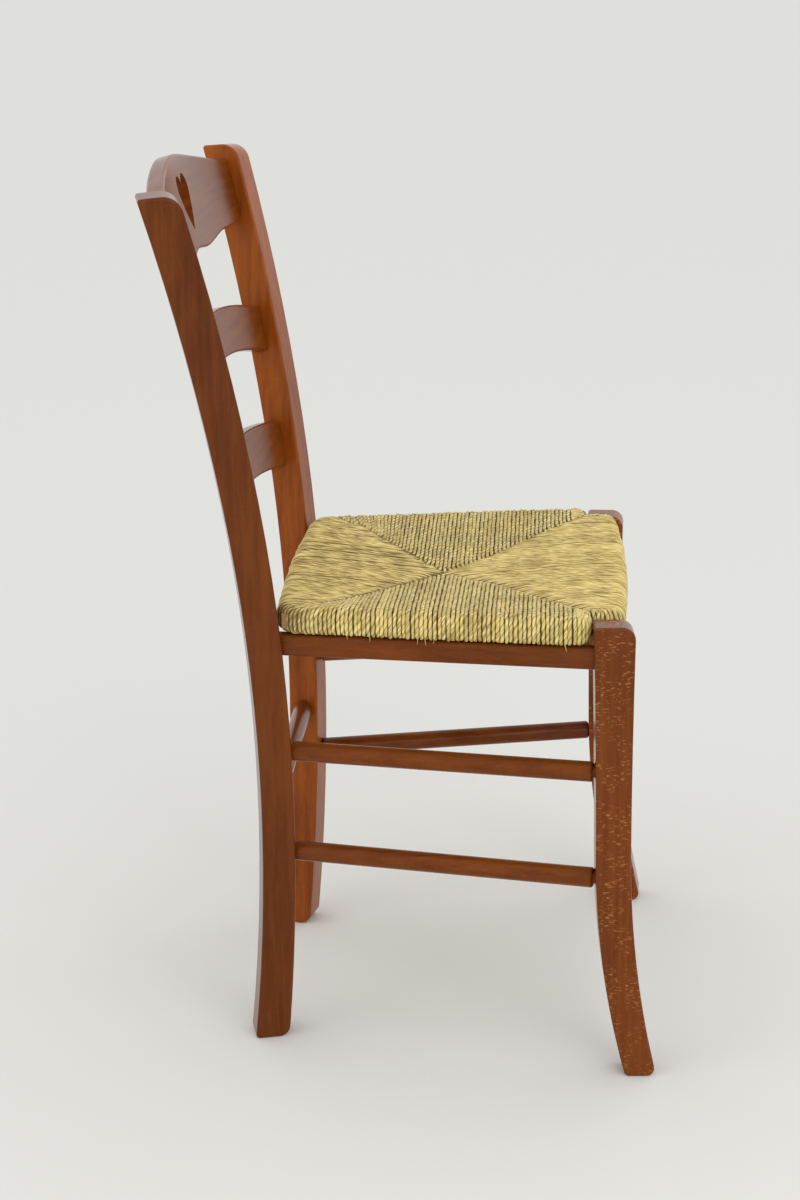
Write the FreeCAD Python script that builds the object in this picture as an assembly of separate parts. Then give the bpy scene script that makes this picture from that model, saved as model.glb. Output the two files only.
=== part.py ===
import FreeCAD, Part
import math
import os

Vec = FreeCAD.Vector

# Ladderback dining chair with a woven rush seat, in millimetres.
# +Z is up and the chair faces -Y, so the sitter's right hand is towards -X.
# The origin is on the floor, in the middle of the chair's outline.

# Heights and plan of the four uprights, measured between their centres at seat level
seat_level = 440.0
rear_spread = 346.5
front_spread = 417.0
post_spacing = 341.7

# Rear posts, sawn from board to a sabre curve and turned to face the slats
post_height = 878.0
post_thickness = 34.0
post_turn = 13.7
post_splay = 4.26
waist_height = 235.0
knee_height = 580.0
foot_kick = 11.8
knee_lean = 28.0
back_lean = 95.0
post_foot_depth = 35.5
post_waist_depth = 33.0
post_knee_depth = 35.0
post_top_depth = 38.0
post_top_drop = 3.0
post_top_round = 20.0
post_foot_round = 12.0
post_heel_round = 4.0

# Front legs, straight above and kicked forward at the foot
leg_height = 466.0
leg_thickness = 32.0
leg_turn = 3.0
leg_splay = -0.95
ankle_height = 235.0
leg_kick = 29.8
leg_foot_depth = 31.0
leg_ankle_depth = 34.5
leg_top_depth = 40.0
leg_top_drop = 0.0
leg_top_round = 13.0
leg_foot_round = 8.0
leg_heel_round = 6.0

# Easing of the sawn edges
post_ease = 2.5
back_corner_round = 3.0
slat_ease = 3.0
slat_sections = 11

# Slats of the back
slat_setback = 15.5
slat_bow = 20.0
slat_tenon_length = 18.0
slat_tenon_inset = 3.5
crest_setback = 13.0
crest_bow = 18.0
crest_thickness = 18.0
crest_above_posts = 11.0
crest_slope = 0.155
crest_peak = 5.0
crest_height = 93.5
crest_lobe_drop = 5.0
crest_lobe_place = 60.0
crest_end_rise = 4.0
slat_thickness = 15.0
upper_slat_gap = 67.5
upper_slat_height = 49.0
upper_slat_arch = 22.5
lower_slat_gap = 82.5
lower_slat_height = 51.5
lower_slat_arch = 15.0

# Heart cut through the crest
heart_width = 58.0
heart_height = 55.0
heart_notch = 8.0
heart_below_top = 20.0
heart_shoulder = 15.0
heart_flank = 23.0

# Round stretchers
stretcher_diameter = 20.0
stretcher_chamfer = 1.5
stretcher_relief = 1.6
dowel_diameter = 12.0
dowel_length = 18.0
upper_stretcher_height = 317.0
lower_stretcher_height = 207.0
cross_stretcher_height = 256.0

# Seat rails
rail_height = 21.5
rail_thickness = 18.0
rail_round = 5.0
rail_below_leg_top = 22.5
rail_tenon_length = 15.0
rail_tenon_thickness = 9.0
rail_tenon_shoulder = 2.0
rail_tenon_split = 1.5

# Woven rush seat and the wooden frame inside it
rush_thickness = 28.5
rush_layer = 5.0
rush_rear_gap = 5.0
rush_leg_gap = 1.6
rush_side_inset = 1.0
rush_side_swell = 2.5
rush_front_setback = 9.5
rush_front_bow = 7.0
rush_rear_bow = 5.0
rush_dish = 15.0
rush_dish_rim = 14.0
rush_dish_floor = 6.0
rush_rear_corner = 22.0
rush_side_corner = 10.0
rush_front_corner = 10.0
rush_notch_corner = 3.0
rush_top_round = 9.0
rush_bottom_round = 6.0
frame_bar_width = 34.0
frame_bar_height = 15.0
frame_front_width = 58.0
frame_tenon_length = 18.0
frame_tenon_width = 14.0
frame_tenon_height = 7.0

# Screws that hold the seat frame down to the side rails
screw_diameter = 4.0
screw_head_diameter = 8.0
screw_head_depth = 2.6
screw_bite = 10.0
screw_point = 3.0
screw_inset = 4.0
screw_end_distance = 60.0

# Clearances
seat_gap = 0.3
socket_gap = 0.1
socket_end_gap = 1.0
screw_gap = 0.2

# Limits of the drawing itself
straight_limit = 0.001
foot_reach = 4.0


# One long edge of a sawn upright, as a chain of arcs that run smoothly into each other.
# It starts straight up from the waist, and each further arc leaves where the last one ended.
class Course:
    def __init__(self, waist, foot, upper):
        self.arcs = [self.arc(waist, (0, -1), foot)]
        start = waist
        heading = (0, 1)
        for end in upper:
            self.arcs.append(self.arc(start, heading, end))
            heading = self.heading_after(self.arcs[-1], heading)
            start = end

    # An arc from a start in a given heading to an end: start, end, centre and radius
    def arc(self, start, heading, end):
        side = (-heading[1], heading[0])
        chord = (end[0] - start[0], end[1] - start[1])
        offset = chord[0] * side[0] + chord[1] * side[1]
        if abs(offset) < straight_limit:
            return start, end, None, None
        radius = (chord[0] ** 2 + chord[1] ** 2) / (2 * offset)
        centre = (start[0] + radius * side[0], start[1] + radius * side[1])
        return start, end, centre, abs(radius)

    def heading_after(self, arc, heading):
        start, end, centre, radius = arc
        if centre is None:
            return heading
        along = ((end[1] - centre[1]) / radius, (centre[0] - end[0]) / radius)
        return along if along[1] > 0 else (-along[0], -along[1])

    def on_arc(self, arc, u):
        start, end, centre, radius = arc
        if centre is None:
            share = (u - start[1]) / (end[1] - start[1])
            return start[0] + (end[0] - start[0]) * share
        half = math.sqrt(radius ** 2 - (u - centre[1]) ** 2)
        return centre[0] + math.copysign(half, start[0] - centre[0])

    def at(self, u):
        above = [arc for arc in self.arcs[1:] if u >= arc[0][1]]
        return self.on_arc(above[-1] if above else self.arcs[0], u)

    def edges(self, place):
        made = []
        for arc in self.arcs:
            start, end = arc[0], arc[1]
            if arc[2] is None:
                made.append(Part.makeLine(place(*start), place(*end)))
                continue
            half_way = (start[1] + end[1]) / 2
            middle = place(self.on_arc(arc, half_way), half_way)
            made.append(Part.Arc(place(*start), middle, place(*end)).toShape())
        return made


# A sawn upright: its outline lies in a plane that is turned about Z and leans sideways.
# Places on it are given as s, to the back along the plane, n, outwards, and the height.
class Upright:
    def __init__(self, spread, y, turn, splay, thickness):
        turn = math.radians(turn)
        self.splay = math.radians(splay)
        self.thickness = thickness
        self.back_way = Vec(-math.sin(turn), math.cos(turn), 0)
        sideways = Vec(-math.cos(turn), -math.sin(turn), 0)
        self.up_way = sideways * math.sin(self.splay) + Vec(0, 0, math.cos(self.splay))
        self.outward = sideways * math.cos(self.splay) - Vec(0, 0, math.sin(self.splay))
        self.centre = Vec(-spread / 2, y, seat_level)

    # Heights are measured along the board in the outline, so they are stretched by the splay
    def set_outline(self, waist, foot, upper, height, drop):
        self.height = height
        self.drop = drop
        stretch = 1 / math.cos(self.splay)
        sides = []
        for side, extra in ((-1, 0), (1, -drop)):
            places = []
            for s, z, depth in (waist, foot, *upper):
                places.append([s + side * depth / 2, z * stretch])
            places[-1][1] += extra
            sides.append(Course(places[0], places[1], places[2:]))
        self.front_course, self.back_course = sides
        level = seat_level * stretch
        self.middle = (self.front_course.at(level) + self.back_course.at(level)) / 2
        self.level = level

    def place(self, s, u, n):
        along = self.back_way * (s - self.middle) + self.up_way * (u - self.level)
        return self.centre + along + self.outward * n

    def height_along(self, z, n):
        return (z + n * math.sin(self.splay)) / math.cos(self.splay)

    def point(self, s, n, z):
        return self.place(s, self.height_along(z, n), n)

    def front(self, z):
        return self.front_course.at(self.height_along(z, 0))

    def back(self, z):
        return self.back_course.at(self.height_along(z, 0))

    def line(self, z):
        return (self.front(z) + self.back(z)) / 2

    def across(self, p):
        return (p - self.centre).dot(self.outward)

    def blank(self):
        inner = -self.thickness / 2

        def place(s, u):
            return self.place(s, u, inner)

        front = self.front_course
        back = self.back_course
        edges = front.edges(place) + back.edges(place)
        for index in (0, -1):
            edges.append(Part.makeLine(place(*front.arcs[index][1]), place(*back.arcs[index][1])))
        outline = Part.Wire(Part.__sortEdges__(edges))
        board = Part.Face(outline).extrude(self.outward * self.thickness)
        floor = Part.makeBox(self.height, self.height, self.height)
        floor.translate(Vec(self.centre.x, self.centre.y, 0) - Vec(1, 1, 2) * (self.height / 2))
        return board.cut(floor)

    def shaped(self, top_round, foot_round, heel_round):
        body = self.blank()
        for corner, radius in ((self.place(*self.front_course.arcs[-1][1], 0), top_round),
                               (self.point(self.front(0), 0, 0), foot_round),
                               (self.place(*self.back_course.arcs[-1][1], 0), back_corner_round),
                               (self.point(self.back(0), 0, 0), heel_round)):
            body = body.makeFillet(radius, [edge_near(body, corner)])
        reach = self.thickness / 2 - socket_gap
        rims = [edge for edge in body.Edges if abs(self.across(middle_of(edge))) > reach]
        return body.makeFillet(post_ease, rims)

    def face_block(self):
        size = 2 * self.height
        inner = -self.thickness / 2
        corners = [self.place(s, u, inner) for s, u in
                   ((-size, -size), (size, -size), (size, size), (-size, size))]
        side = Part.Face(Part.makePolygon(corners + corners[:1]))
        return side.extrude(self.outward * size)


def middle_of(edge):
    return edge.valueAt((edge.FirstParameter + edge.LastParameter) / 2)


def edge_near(shape, place):
    return min(shape.Edges, key=lambda edge: middle_of(edge).distanceToPoint(place))


def flip(shape):
    return shape.mirror(Vec(0, 0, 0), Vec(1, 0, 0))


def both_sides(shape):
    return [shape, flip(shape)]


def polygon_prism(points, low, high):
    corners = [Vec(x, y, low) for x, y in points]
    face = Part.Face(Part.makePolygon(corners + corners[:1]))
    return face.extrude(Vec(0, 0, high - low))


# A straight bar between two points of equal height, with its long edges rounded
def bar_between(start, end, thickness, height, rounding):
    length = start.distanceToPoint(end)
    bar = Part.makeBox(length, thickness, height, Vec(0, -thickness / 2, -height / 2))
    if rounding > 0:
        long_edges = [edge for edge in bar.Edges if abs(edge.Length - length) < socket_gap]
        bar = bar.makeFillet(rounding, long_edges)
    angle = math.degrees(math.atan2(end.y - start.y, end.x - start.x))
    bar.rotate(Vec(0, 0, 0), Vec(0, 0, 1), angle)
    bar.translate(start)
    return bar


def rod_between(start, end, radius):
    return Part.makeCylinder(radius, start.distanceToPoint(end), start, end - start)


def unit(vector):
    return vector / vector.Length


# The rear post kicks back at the foot and leans back above the waist.
# Each place is the middle of the board: how far back, how high, and how deep it is there.
post = Upright(rear_spread, post_spacing / 2, post_turn, post_splay, post_thickness)
post.set_outline((0, waist_height, post_waist_depth),
                 (foot_kick, -foot_reach, post_foot_depth),
                 [(knee_lean, knee_height, post_knee_depth),
                  (back_lean, post_height, post_top_depth)], post_height, post_top_drop)

# The front leg is straight down to the ankle and kicks forward at the foot
leg = Upright(front_spread, -post_spacing / 2, leg_turn, leg_splay, leg_thickness)
leg.set_outline((0, ankle_height, leg_ankle_depth),
                (-leg_kick, -foot_reach, leg_foot_depth),
                [(0, leg_height, leg_top_depth)], leg_height, leg_top_drop)
post_blank = post.blank()
leg_blank = leg.blank()
uprights = both_sides(post_blank) + both_sides(leg_blank)
post_sockets = []
leg_sockets = []
pieces = {}


# A wire round a rectangle with round corners, between two heights on an upright line
def rounded_section(front, radial, thickness, low, high, rounding):
    def at(across, z):
        return front + radial * across + Vec(0, 0, z)

    corners = ((0, low), (thickness, low), (thickness, high), (0, high))
    hands = ((1, 1), (-1, 1), (-1, -1), (1, -1))
    bend = rounding * (1 - math.sqrt(0.5))
    arcs = []
    for index, ((across, z), (right, up)) in enumerate(zip(corners, hands)):
        beside = at(across + right * rounding, z)
        above = at(across, z + up * rounding)
        first, last = (above, beside) if index % 2 == 0 else (beside, above)
        middle = at(across + right * bend, z + up * bend)
        arcs.append((first, middle, last))
    edges = []
    for index, (first, middle, last) in enumerate(arcs):
        edges.append(Part.Arc(first, middle, last).toShape())
        edges.append(Part.makeLine(last, arcs[(index + 1) % len(arcs)][0]))
    return Part.Wire(edges)


# A slat: a board bent to an arc in plan, leaning with the posts, tenoned into both of them.
# Its top and bottom are given as true heights over the distance from the chair's middle.
def bent_slat(name, top_at, bottom_at, thickness, setback, bow, cutout):
    middle = (top_at(0) + bottom_at(0)) / 2
    step = (top_at(0) - bottom_at(0)) / 2
    inner = -post_thickness / 2
    seat = post.point(post.front(middle) + setback, inner, middle)
    half = -seat.x
    radius = (half ** 2 + bow ** 2) / (2 * bow)
    rise = (post.line(middle + step) - post.line(middle - step)) / (2 * step)
    lean = math.atan(rise * math.cos(math.radians(post_turn)))

    # Height along the leaning board of a true height on its bowed front face
    def along_board(x, z):
        sink = bow * (1 - (x / half) ** 2) * math.sin(lean)
        return (z - middle + sink) / math.cos(lean)

    centre = Vec(0, bow - radius, 0)
    last_angle = math.asin((half + post_thickness / 2) / radius)
    sections = []
    for index in range(slat_sections):
        angle = last_angle * (2 * index / (slat_sections - 1) - 1)
        radial = Vec(math.sin(angle), math.cos(angle), 0)
        x = radius * math.sin(angle)
        low = along_board(x, bottom_at(abs(x), half))
        high = along_board(x, top_at(abs(x), half))
        sections.append(rounded_section(centre + radial * radius, radial, thickness,
                                        low, high, slat_ease))
    slat = Part.makeLoft(sections, True)
    if cutout:
        depth = 2 * (bow + thickness)
        hole = cutout(along_board)
        hole.translate(Vec(0, -depth, 0))
        slat = slat.cut(hole.extrude(Vec(0, 2 * depth, 0)))
    slat.rotate(Vec(0, 0, 0), Vec(1, 0, 0), -math.degrees(lean))
    slat.translate(Vec(0, seat.y, middle))
    for block in both_sides(post.face_block()):
        slat = slat.cut(block)
    low = end_height(slat, False) + slat_tenon_inset
    high = end_height(slat, True) - slat_tenon_inset
    tenon = slat_tenon(low, high, thickness, setback, 0)
    post_sockets.append(slat_tenon(low, high, thickness, setback, socket_gap))
    pieces[name] = slat.fuse(both_sides(tenon)).removeSplitter()


# Highest or lowest place of a slat where it meets the post's inner face
def end_height(slat, highest):
    inner = -post_thickness / 2
    corners = [v.Point for v in slat.Vertexes if abs(post.across(v.Point) - inner) < socket_gap]
    heights = [corner.z for corner in corners]
    return max(heights) if highest else min(heights)


# The tenon follows the lean of the post and lies within the slat's thickness
def slat_tenon(low, high, thickness, setback, gap):
    inner = -post_thickness / 2
    start = inner if gap == 0 else inner - socket_end_gap
    end = inner + slat_tenon_length + (socket_end_gap if gap else 0)
    corners = []
    for z in (low - gap, high + gap):
        s = post.front(z) + setback + slat_tenon_inset
        corners.append((s - gap, z))
        corners.append((s + thickness - 2 * slat_tenon_inset + gap, z))
    order = [corners[0], corners[1], corners[3], corners[2], corners[0]]
    face = Part.Face(Part.makePolygon([post.point(s, start, z) for s, z in order]))
    return face.extrude(post.outward * (end - start))


# Heights of the boards in the middle of the back, each hung from the one above it
crest_top = post_height + crest_above_posts
crest_bottom = crest_top - crest_height
upper_slat_top = crest_bottom - upper_slat_gap
lower_slat_top = upper_slat_top - upper_slat_height - lower_slat_gap


# The crest peaks in the middle, and its lower edge has a soft lobe at each side
def crest_top_at(x, half=1.0):
    return crest_top + crest_peak - math.hypot(crest_slope * x, crest_peak)


def crest_bottom_at(x, half=1.0):
    rise = crest_end_rise * (x / half) ** 2 if x else 0
    lobe = math.sin(math.pi * x / (2 * crest_lobe_place)) ** 2
    return crest_bottom + rise - (crest_lobe_drop * lobe if x < 2 * crest_lobe_place else 0)


# An arched edge falls from the middle to the posts
def arched(height, arch):
    def height_at(x, half=1.0):
        return height - (arch * (x / half) ** 2 if x else 0)
    return height_at


# Heart: two round lobes over a point
def heart(along_board):
    top = crest_top - heart_below_top
    lobe = heart_width / 4

    def place(x, z):
        return Vec(x, 0, along_board(x, z))

    edges = []
    for hand in (-1, 1):
        notch = place(0, top - heart_notch)
        crown = place(hand * lobe, top)
        outer = place(hand * heart_width / 2, top - heart_shoulder)
        flank = place(hand * heart_flank, top - heart_height / 2)
        tip = place(0, top - heart_height)
        edges.append(Part.Arc(notch, crown, outer).toShape())
        edges.append(Part.Arc(outer, flank, tip).toShape())
    return Part.Face(Part.Wire(Part.__sortEdges__(edges)))


bent_slat("crest_rail", crest_top_at, crest_bottom_at,
          crest_thickness, crest_setback, crest_bow, heart)
for name, top, height, arch in (
        ("upper_slat", upper_slat_top, upper_slat_height, upper_slat_arch),
        ("lower_slat", lower_slat_top, lower_slat_height, lower_slat_arch)):
    bent_slat(name, arched(top, arch), arched(top - height, arch),
              slat_thickness, slat_setback, slat_bow, None)


# The two ends of a side member: centre of the post's front face, centre of the leg's back face
def side_ends(height):
    start = post.point(post.front(height), 0, height)
    end = leg.point(leg.back(height), 0, height)
    return start, end


def trimmed(body):
    for upright in uprights:
        body = body.cut(upright)
    return max(body.Solids, key=lambda solid: solid.Volume)


# A turned stretcher with chamfered shoulders and a dowel at each end
def round_stretcher(start, end, shoulder):
    along = unit(end - start)
    first = start + along * shoulder
    last = end - along * shoulder
    body = rod_between(first, last, stretcher_diameter / 2)
    if shoulder > 0:
        rims = [edge for edge in body.Edges if edge.Closed]
        body = body.makeChamfer(stretcher_chamfer, rims)
    body = trimmed(body)
    sockets = []
    dowel = dowel_diameter / 2
    for place, way in ((start, -along), (end, along)):
        inside = place - way * stretcher_diameter
        body = body.fuse(rod_between(inside, place + way * dowel_length, dowel))
        mouth = place - way * (stretcher_relief + socket_end_gap)
        deep = place + way * (dowel_length + socket_end_gap)
        sockets.append(rod_between(mouth, deep, dowel + socket_gap))
    return body.removeSplitter(), sockets


side_heights = {"upper": upper_stretcher_height, "lower": lower_stretcher_height}
for place, height in side_heights.items():
    start, end = side_ends(height)
    body, sockets = round_stretcher(start, end, stretcher_relief)
    pieces["side_stretcher_" + place + "_right"] = body
    pieces["side_stretcher_" + place + "_left"] = flip(body)
    post_sockets.append(sockets[0])
    leg_sockets.append(sockets[1])


# Cross members run between the inner faces of a pair of uprights
def cross_end(upright, height, back):
    return upright.point(upright.line(height) + back, -upright.thickness / 2, height)


bury = stretcher_diameter / 2
for name, upright, holes in (("rear_stretcher", post, post_sockets),
                             ("front_stretcher", leg, leg_sockets)):
    end = cross_end(upright, cross_stretcher_height, 0)
    start = Vec(-end.x, end.y, end.z)
    outside = Vec(bury, 0, 0)
    body = trimmed(rod_between(start + outside, end - outside, stretcher_diameter / 2))
    tip = end - Vec(dowel_length, 0, 0)
    dowel = rod_between(tip, Vec(-tip.x, tip.y, tip.z), dowel_diameter / 2)
    pieces[name] = body.fuse(dowel).removeSplitter()
    deep = tip - Vec(socket_end_gap, 0, 0)
    holes.append(rod_between(end + outside, deep, dowel_diameter / 2 + socket_gap))


# Seat rails have half-height tenons, one above the other where two rails meet in a leg
tenon_height = rail_height / 2 - rail_tenon_shoulder - rail_tenon_split


def rail_tenon(start, end, level, gap):
    lift = Vec(0, 0, level * (tenon_height / 2 + rail_tenon_split))
    thick = rail_tenon_thickness + 2 * gap
    return bar_between(start + lift, end + lift, thick, tenon_height + 2 * gap, 0)


rail_top = leg_height - rail_below_leg_top
rail_centre = rail_top - rail_height / 2
rail_start, rail_end = side_ends(rail_centre)
rail_way = unit(rail_end - rail_start)
side_rail = bar_between(rail_start - rail_way * bury, rail_end + rail_way * bury,
                        rail_thickness, rail_height, rail_round)
side_rail = trimmed(side_rail)
reach = rail_way * rail_tenon_length
tenon = rail_tenon(rail_start - reach, rail_end + reach, 1, 0)
side_rail = side_rail.fuse(tenon).removeSplitter()
deep = rail_way * (rail_tenon_length + socket_end_gap)
post_sockets.append(rail_tenon(rail_start - deep, rail_start + deep, 1, socket_gap))
leg_sockets.append(rail_tenon(rail_end - deep, rail_end + deep, 1, socket_gap))

# The front rail lies in mid leg. The back has no seat rail: the photograph shows none.
rail_place = cross_end(leg, rail_centre, 0)
far_rail_place = Vec(-rail_place.x, rail_place.y, rail_place.z)
outside = Vec(bury, 0, 0)
front_rail = trimmed(bar_between(far_rail_place + outside, rail_place - outside,
                                 rail_thickness, rail_height, rail_round))
reach = Vec(rail_tenon_length, 0, 0)
tenon = rail_tenon(far_rail_place + reach, rail_place - reach, -1, 0)
pieces["seat_rail_front"] = front_rail.fuse(tenon).removeSplitter()
deep = Vec(rail_tenon_length + socket_end_gap, 0, 0)
leg_sockets.append(rail_tenon(rail_place + outside, rail_place - deep, -1, socket_gap))

# Plan of the woven seat, right half, from what stands round it
rush_bottom = rail_top + seat_gap
rush_top = rush_bottom + rush_thickness
outwards = Vec(rail_way.y, -rail_way.x, 0)
side_start = rail_start + outwards * (rail_thickness / 2 - rush_side_inset)


def side_x(y, inset=0.0):
    place = side_start - outwards * inset
    return place.x + rail_way.x * (y - place.y) / rail_way.y


leg_corners = [leg.point(s(z), e, z) for s in (leg.front, leg.back)
               for e in (-leg_thickness / 2, leg_thickness / 2) for z in (rush_bottom, leg_height)]
notch_x = max(corner.x for corner in leg_corners) + rush_leg_gap
notch_y = max(corner.y for corner in leg_corners) + rush_leg_gap
leg_front_y = leg.point(leg.front(leg_height), 0, leg_height).y
rush_front = leg_front_y + rush_front_setback
rush_rear = post.point(post.front(rush_top), -post_thickness / 2, rush_top).y - rush_rear_gap


# Plan of the seat, drawn in by an inset on every side
def seat_plan(inset, swell, front_bow, rear_bow):
    rear = Vec(side_x(rush_rear - inset, inset), rush_rear - inset, 0)
    side = Vec(side_x(notch_y + inset, inset), notch_y + inset, 0)
    notch = Vec(notch_x + inset, notch_y + inset, 0)
    front = Vec(notch_x + inset, rush_front + inset, 0)
    belly = (rear + side) / 2 + outwards * swell
    edges = [Part.Arc(rear, belly, side).toShape() if swell else Part.makeLine(rear, side)]
    edges += [Part.makeLine(side, notch), Part.makeLine(notch, front)]
    edges += [flip(edge) for edge in edges]
    for corner, bow in ((front, -front_bow), (rear, rear_bow)):
        opposite = Vec(-corner.x, corner.y, 0)
        nose = Vec(0, corner.y + bow, 0)
        edges.append(Part.Arc(corner, nose, opposite).toShape() if bow
                     else Part.makeLine(corner, opposite))
    return Part.Face(Part.Wire(Part.__sortEdges__(edges))), (rear, side, notch, front)


# The hollow that the weaving sinks into, deepest where the four fields meet
def dish(drop):
    corners = [(side_x(rush_rear - rush_dish_rim, rush_dish_rim), rush_rear - rush_dish_rim),
               (notch_x + rush_dish_rim, notch_y)]
    rim = [Vec(x, y, rush_top - drop) for x, y in corners]
    rim += [Vec(-corner.x, corner.y, corner.z) for corner in reversed(rim)]
    middle_y = (rim[0].y + rim[1].y) / 2
    low = rush_top - drop - rush_dish
    floor = []
    for corner in rim:
        side = math.copysign(rush_dish_floor, corner.x)
        end = middle_y + math.copysign(rush_dish_floor, corner.y - middle_y)
        floor.append(Vec(side, end, low))
    wires = [Part.makePolygon(ring + ring[:1]) for ring in (rim, floor)]
    return Part.makeLoft(wires, True, True)


plan, _ = seat_plan(0, rush_side_swell, rush_front_bow, rush_rear_bow)
plan.translate(Vec(0, 0, rush_bottom))
rush = plan.extrude(Vec(0, 0, rush_thickness))
_, (rear, side, notch, front) = seat_plan(0, 0, 0, 0)
corner_rounds = ((rear, rush_rear_corner), (side, rush_side_corner),
                 (notch, rush_notch_corner), (front, rush_front_corner))
for corner, radius in corner_rounds:
    for hand in (1, -1):
        place = Vec(hand * corner.x, corner.y, rush_bottom + rush_thickness / 2)
        rush = rush.makeFillet(radius, [edge_near(rush, place)])
for level, radius in ((rush_top, rush_top_round), (rush_bottom, rush_bottom_round)):
    rim = [edge for edge in rush.Edges
           if max(abs(v.Point.z - level) for v in edge.Vertexes) < socket_gap]
    rush = rush.makeFillet(radius, rim)
rush = rush.cut(dish(0))

# Wooden frame that the rush is woven round: two side bars, a rear bar and a notched front board
bar_low = rush_bottom + rush_layer
bar_high = bar_low + frame_bar_height
rear_line = rush_rear - rush_layer
front_line = rush_front + rush_layer
front_back_line = front_line + frame_front_width
rear_front_line = rear_line - frame_bar_width
outer = rush_layer
inner = rush_layer + frame_bar_width
side_bar = polygon_prism([(side_x(rear_line, outer), rear_line),
                          (side_x(front_back_line, outer), front_back_line),
                          (side_x(front_back_line, inner), front_back_line),
                          (side_x(rear_line, inner), rear_line)], bar_low, bar_high)
front_half = [(notch_x + outer, front_line), (notch_x + outer, notch_y + outer),
              (side_x(notch_y + outer, outer), notch_y + outer),
              (side_x(front_back_line, outer), front_back_line)]
front_board = polygon_prism(front_half + [(-x, y) for x, y in reversed(front_half)],
                            bar_low, bar_high)
rear_half = [(side_x(rear_front_line, inner), rear_front_line),
             (side_x(rear_line, inner), rear_line)]
rear_bar = polygon_prism(rear_half + [(-x, y) for x, y in reversed(rear_half)],
                         bar_low, bar_high)

bar_centre = (bar_low + bar_high) / 2
core = rush_layer + frame_bar_width / 2


def frame_tenon(place, way, gap):
    deep = place + way * (frame_tenon_length + (socket_end_gap if gap else 0))
    back = place - way * (socket_end_gap if gap else frame_tenon_length)
    return bar_between(back, deep, frame_tenon_width + 2 * gap, frame_tenon_height + 2 * gap, 0)


side_tenon_place = Vec(side_x(front_back_line, core), front_back_line, bar_centre)
rear_tenon_y = (rear_line + rear_front_line) / 2
rear_tenon_place = Vec(side_x(rear_tenon_y, inner), rear_tenon_y, bar_centre)
side_bar = side_bar.cut(frame_tenon(rear_tenon_place, Vec(-1, 0, 0), socket_gap))
side_bar = side_bar.fuse(frame_tenon(side_tenon_place, rail_way, 0))
rear_bar = rear_bar.fuse(both_sides(frame_tenon(rear_tenon_place, Vec(-1, 0, 0), 0)))
for socket in both_sides(frame_tenon(side_tenon_place, rail_way, socket_gap)):
    front_board = front_board.cut(socket)

# Stuffing between the upper and the lower layer of rush, inside the frame
fill_edge = inner + seat_gap
fill_half = [(side_x(rear_front_line, fill_edge), rear_front_line - seat_gap),
             (side_x(front_back_line, fill_edge), front_back_line + seat_gap)]
stuffing = polygon_prism(fill_half + [(-x, y) for x, y in reversed(fill_half)],
                         bar_low, bar_high)
stuffing = stuffing.cut(dish(rush_layer + seat_gap))

# The weaving is hollow where the frame and the stuffing lie
pocket, _ = seat_plan(rush_layer - seat_gap, 0, 0, 0)
pocket.translate(Vec(0, 0, bar_low - seat_gap))
pocket = pocket.extrude(Vec(0, 0, frame_bar_height + 2 * seat_gap))
rush = rush.cut(pocket.cut(dish(rush_layer)))

# Countersunk screws, up through the side rails into the side bars
rail_low = rail_top - rail_height
screw_radius = screw_diameter / 2
head_radius = screw_head_diameter / 2
screw_end = bar_low + screw_bite


def screw_at(y, gap):
    offset = outwards * (-screw_inset)
    x = rail_start.x + offset.x + rail_way.x * (y - rail_start.y - offset.y) / rail_way.y
    base = Vec(x, y, rail_low)
    up = Vec(0, 0, 1)
    head = Part.makeCone(head_radius + gap, screw_radius + gap, screw_head_depth, base, up)
    shank = rod_between(base, Vec(x, y, screw_end - screw_point), screw_radius + gap)
    point = Part.makeCone(screw_radius + gap, gap, screw_point,
                          Vec(x, y, screw_end - screw_point), up)
    return head.fuse([shank, point]).removeSplitter()


screw_places = (rail_start.y - screw_end_distance, rail_end.y + screw_end_distance)
screws = []
for y in screw_places:
    screws += both_sides(screw_at(y, 0))
    hole = screw_at(y, screw_gap)
    side_rail = side_rail.cut(hole)
    side_bar = side_bar.cut(hole)
    for side_hole in both_sides(hole):
        rush = rush.cut(side_hole)

# The uprights, with their sockets cut
right_post = post.shaped(post_top_round, post_foot_round, post_heel_round)
for socket in post_sockets:
    right_post = right_post.cut(socket)
right_leg = leg.shaped(leg_top_round, leg_foot_round, leg_heel_round)
for socket in leg_sockets:
    right_leg = right_leg.cut(socket)

pieces["seat_frame_front"] = front_board
pieces["seat_frame_rear"] = rear_bar
pieces["rush_seat"] = rush
pieces["seat_stuffing"] = stuffing
pieces["seat_screws"] = Part.makeCompound(screws)
for name, shape in (("rear_post", right_post), ("front_leg", right_leg),
                    ("seat_rail", side_rail), ("seat_frame", side_bar)):
    pieces[name + "_right"] = shape
    pieces[name + "_left"] = flip(shape)

# The whole chair is moved so that the origin lies under the middle of its outline
outline = Part.makeCompound([shape for shape in pieces.values()]).optimalBoundingBox()
shift = Vec(-outline.Center.x, -outline.Center.y, -outline.ZMin)
os.makedirs("parts", exist_ok=True)
for name, shape in sorted(pieces.items()):
    shape.translate(shift)
    shape.exportStep("parts/" + name + ".step")
    print(name, len(shape.Solids), round(shape.Volume), shape.isValid())
print("outline", outline.XLength, outline.YLength, outline.ZLength, "shift", shift)
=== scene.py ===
import math

import bpy
import numpy as np
from mathutils import Matrix, Vector


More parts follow.
